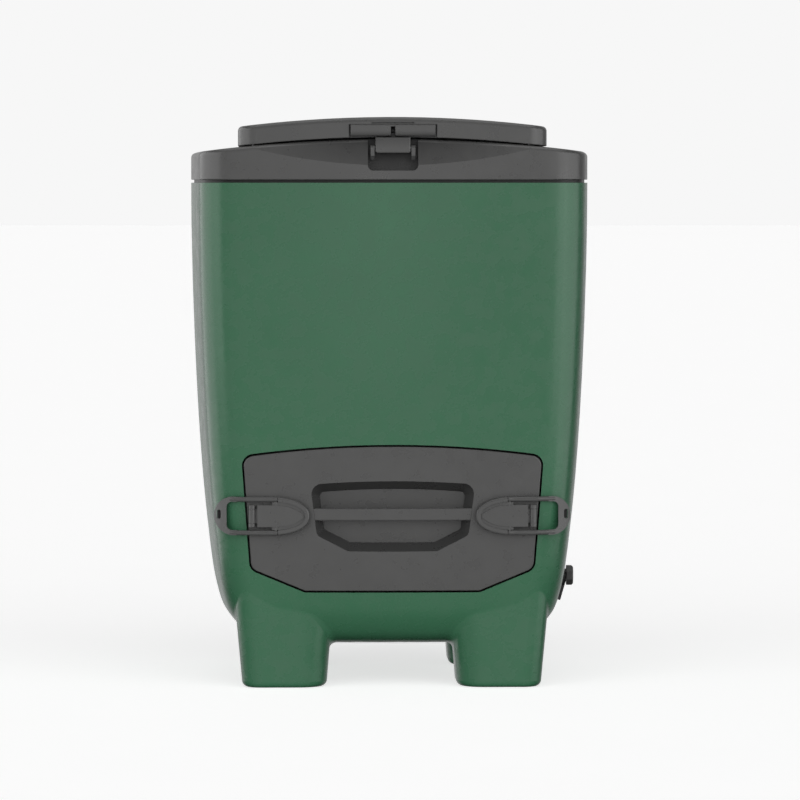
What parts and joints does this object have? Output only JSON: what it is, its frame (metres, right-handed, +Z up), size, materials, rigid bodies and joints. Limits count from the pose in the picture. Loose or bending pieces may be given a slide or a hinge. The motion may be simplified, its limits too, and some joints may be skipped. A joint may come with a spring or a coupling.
{
  "type": "insulated compost bin",
  "caption": "Double-walled insulated compost bin on moulded legs, with arched hinged lid and snap clip, removable lower hatch held by toggle latches, and a drain tap.",
  "frame": {"origin": "centre of the bounding box's underside, on the ground between the feet", "axes": "+Z up, -Y towards the hatch side (the pictured front), +X towards the drain tap"},
  "size_m": [0.674, 0.674, 0.9506],
  "materials": {
    "green_shell": "fine-grained moulded polyethylene, dark green",
    "grey_plastic": "fine-grained moulded polypropylene, dark grey",
    "black_plastic": "satin black moulded plastic",
    "foam": "expanded foam insulation, off-white",
    "rubber": "black sealing rubber",
    "steel": "plain stainless steel"
  },
  "bodies": {
    "bin": {"outer_shell": "green_shell", "legs": "green_shell", "inner_liner": "black_plastic", "wall_insulation": "foam", "floor_insulation": "foam", "hatch_frame": "grey_plastic", "top_collar": "grey_plastic", "clip_seat": "grey_plastic", "collar_screws": "steel", "keeper_pin": "steel", "floor_grate": "grey_plastic", "air_inlet_tubes": "grey_plastic", "air_inlet_screens": "steel", "latch_keeper_left": "black_plastic", "latch_keeper_right": "black_plastic", "tap_body": "black_plastic", "tap_washer": "rubber", "tap_nut": "black_plastic", "lid_hinge_pins": "steel"},
    "tap_handle": {"tap_knob": "black_plastic", "tap_spindle": "steel"},
    "hatch": {"hatch_cover": "grey_plastic", "hatch_grip_bar": "grey_plastic", "hatch_inner_panel": "grey_plastic", "hatch_insulation": "foam", "hatch_seal": "rubber", "hatch_screws": "steel", "latch_bracket_left": "grey_plastic", "latch_bracket_right": "grey_plastic", "latch_pin_left": "steel", "latch_pin_right": "steel"},
    "lever_left": {"latch_lever_left": "grey_plastic"},
    "bail_left": {"latch_bail_left": "grey_plastic"},
    "lever_right": {"latch_lever_right": "grey_plastic"},
    "bail_right": {"latch_bail_right": "grey_plastic"},
    "lid": {"lid_cover": "grey_plastic", "lid_inner_panel": "grey_plastic", "lid_insulation": "foam", "lid_seal": "rubber", "lid_grip": "grey_plastic", "clip_pin": "steel", "lid_screws": "steel"},
    "clip": {"lid_clip": "grey_plastic"}
  },
  "joints": [
    {"name": "lid_hinge", "type": "hinge", "parent": "bin", "child": "lid", "pos_m": [0, 0.324, 0.922], "axis": [-1, 0, 0], "range_deg": [0, 105]},
    {"name": "lid_clip_hinge", "type": "hinge", "parent": "lid", "child": "clip", "pos_m": [0, -0.325, 0.9275], "axis": [-1, 0, 0], "range_deg": [0, 100]},
    {"name": "hatch_pull", "type": "slide", "parent": "bin", "child": "hatch", "axis": [0, -1, 0], "range_m": [0, 0.3]},
    {"name": "latch_left", "type": "hinge", "parent": "hatch", "child": "lever_left", "pos_m": [-0.2335, -0.311, 0.29], "axis": [0, 0, -1], "range_deg": [0, 70]},
    {"name": "bail_left_swing", "type": "hinge", "parent": "lever_left", "child": "bail_left", "pos_m": [-0.19364, -0.31431, 0.29], "axis": [0, 0, 1], "range_deg": [0, 70]},
    {"name": "latch_right", "type": "hinge", "parent": "hatch", "child": "lever_right", "pos_m": [0.2335, -0.311, 0.29], "axis": [0, 0, 1], "range_deg": [0, 70]},
    {"name": "bail_right_swing", "type": "hinge", "parent": "lever_right", "child": "bail_right", "pos_m": [0.19364, -0.31431, 0.29], "axis": [0, 0, -1], "range_deg": [0, 70]},
    {"name": "tap_turn", "type": "hinge", "parent": "bin", "child": "tap_handle", "pos_m": [0.3, 0, 0.168], "axis": [1, 0, 0], "range_deg": [0, 90]}
  ],
  "couplings": [
    {"joint": "bail_left_swing", "follows": "latch_left", "ratio": 1},
    {"joint": "bail_right_swing", "follows": "latch_right", "ratio": 1}
  ]
}
